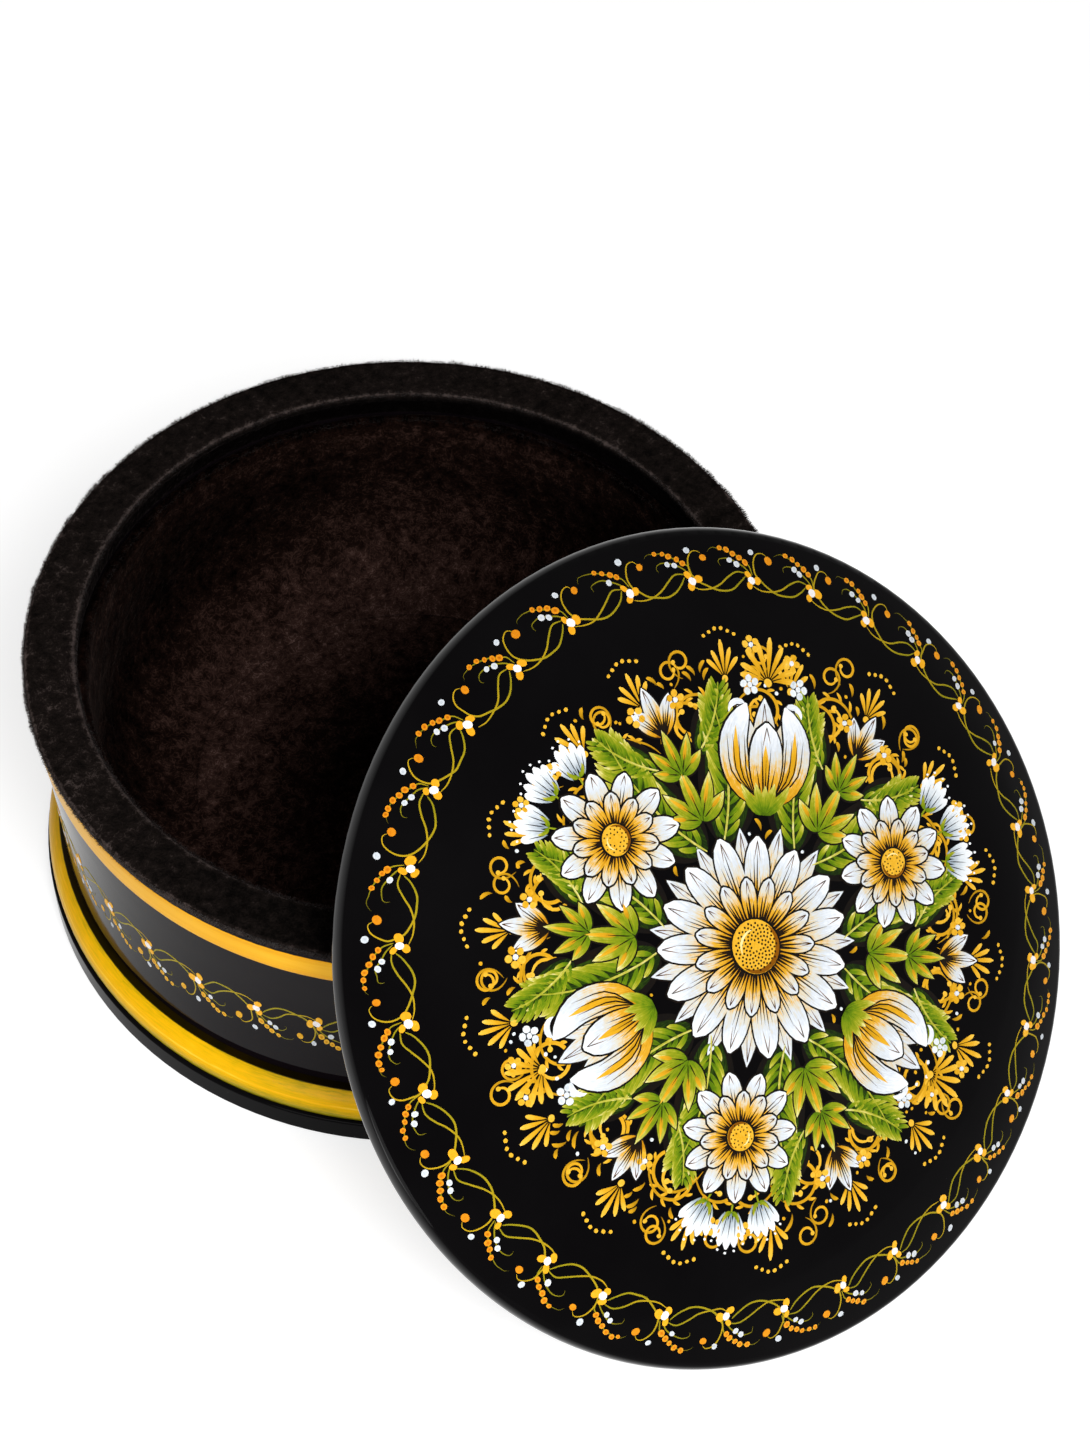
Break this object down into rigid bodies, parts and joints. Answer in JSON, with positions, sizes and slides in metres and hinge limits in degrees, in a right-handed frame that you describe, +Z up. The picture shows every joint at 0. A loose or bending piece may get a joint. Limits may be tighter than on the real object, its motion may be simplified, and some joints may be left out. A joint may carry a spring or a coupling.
{
  "type": "lacquer box",
  "caption": "Round black lacquered wooden box with a velvet rim and lining; its domed lid, painted with flowers inside a vine border, leans on the rim.",
  "frame": {"origin": "centre of the box's flat underside, on its turning axis, on the table", "axes": "+Z up along the box's turning axis; the lid leans on the rim towards -Y, with its lower edge on the table"},
  "size_m": [0.1713, 0.2385, 0.1128],
  "materials": {
    "wall_lacquer": "gloss lacquer with painted bands and vine",
    "bead_paint": "satin brushed paint under lacquer",
    "base_lacquer": "gloss lacquer",
    "rim_velvet": "short pile velvet",
    "wall_velvet": "short pile velvet",
    "floor_velvet": "short pile velvet",
    "lid_lacquer": "gloss lacquer with painted flowers and vine",
    "collar_lacquer": "satin lacquer",
    "lid_velvet": "short pile velvet"
  },
  "bodies": {
    "box": {"wall_ring": "wall_lacquer", "base_bead": "bead_paint", "base_board": "base_lacquer", "rim_velvet": "rim_velvet", "wall_velvet": "wall_velvet", "floor_velvet": "floor_velvet"},
    "lid": {"lid_dome": "lid_lacquer", "lid_collar": "collar_lacquer", "lid_velvet": "lid_velvet"}
  },
  "joints": [
    {"name": "lid_lift", "type": "slide", "parent": "box", "child": "lid", "axis": [0, 0, 1], "range_m": [0, 0.12]}
  ]
}
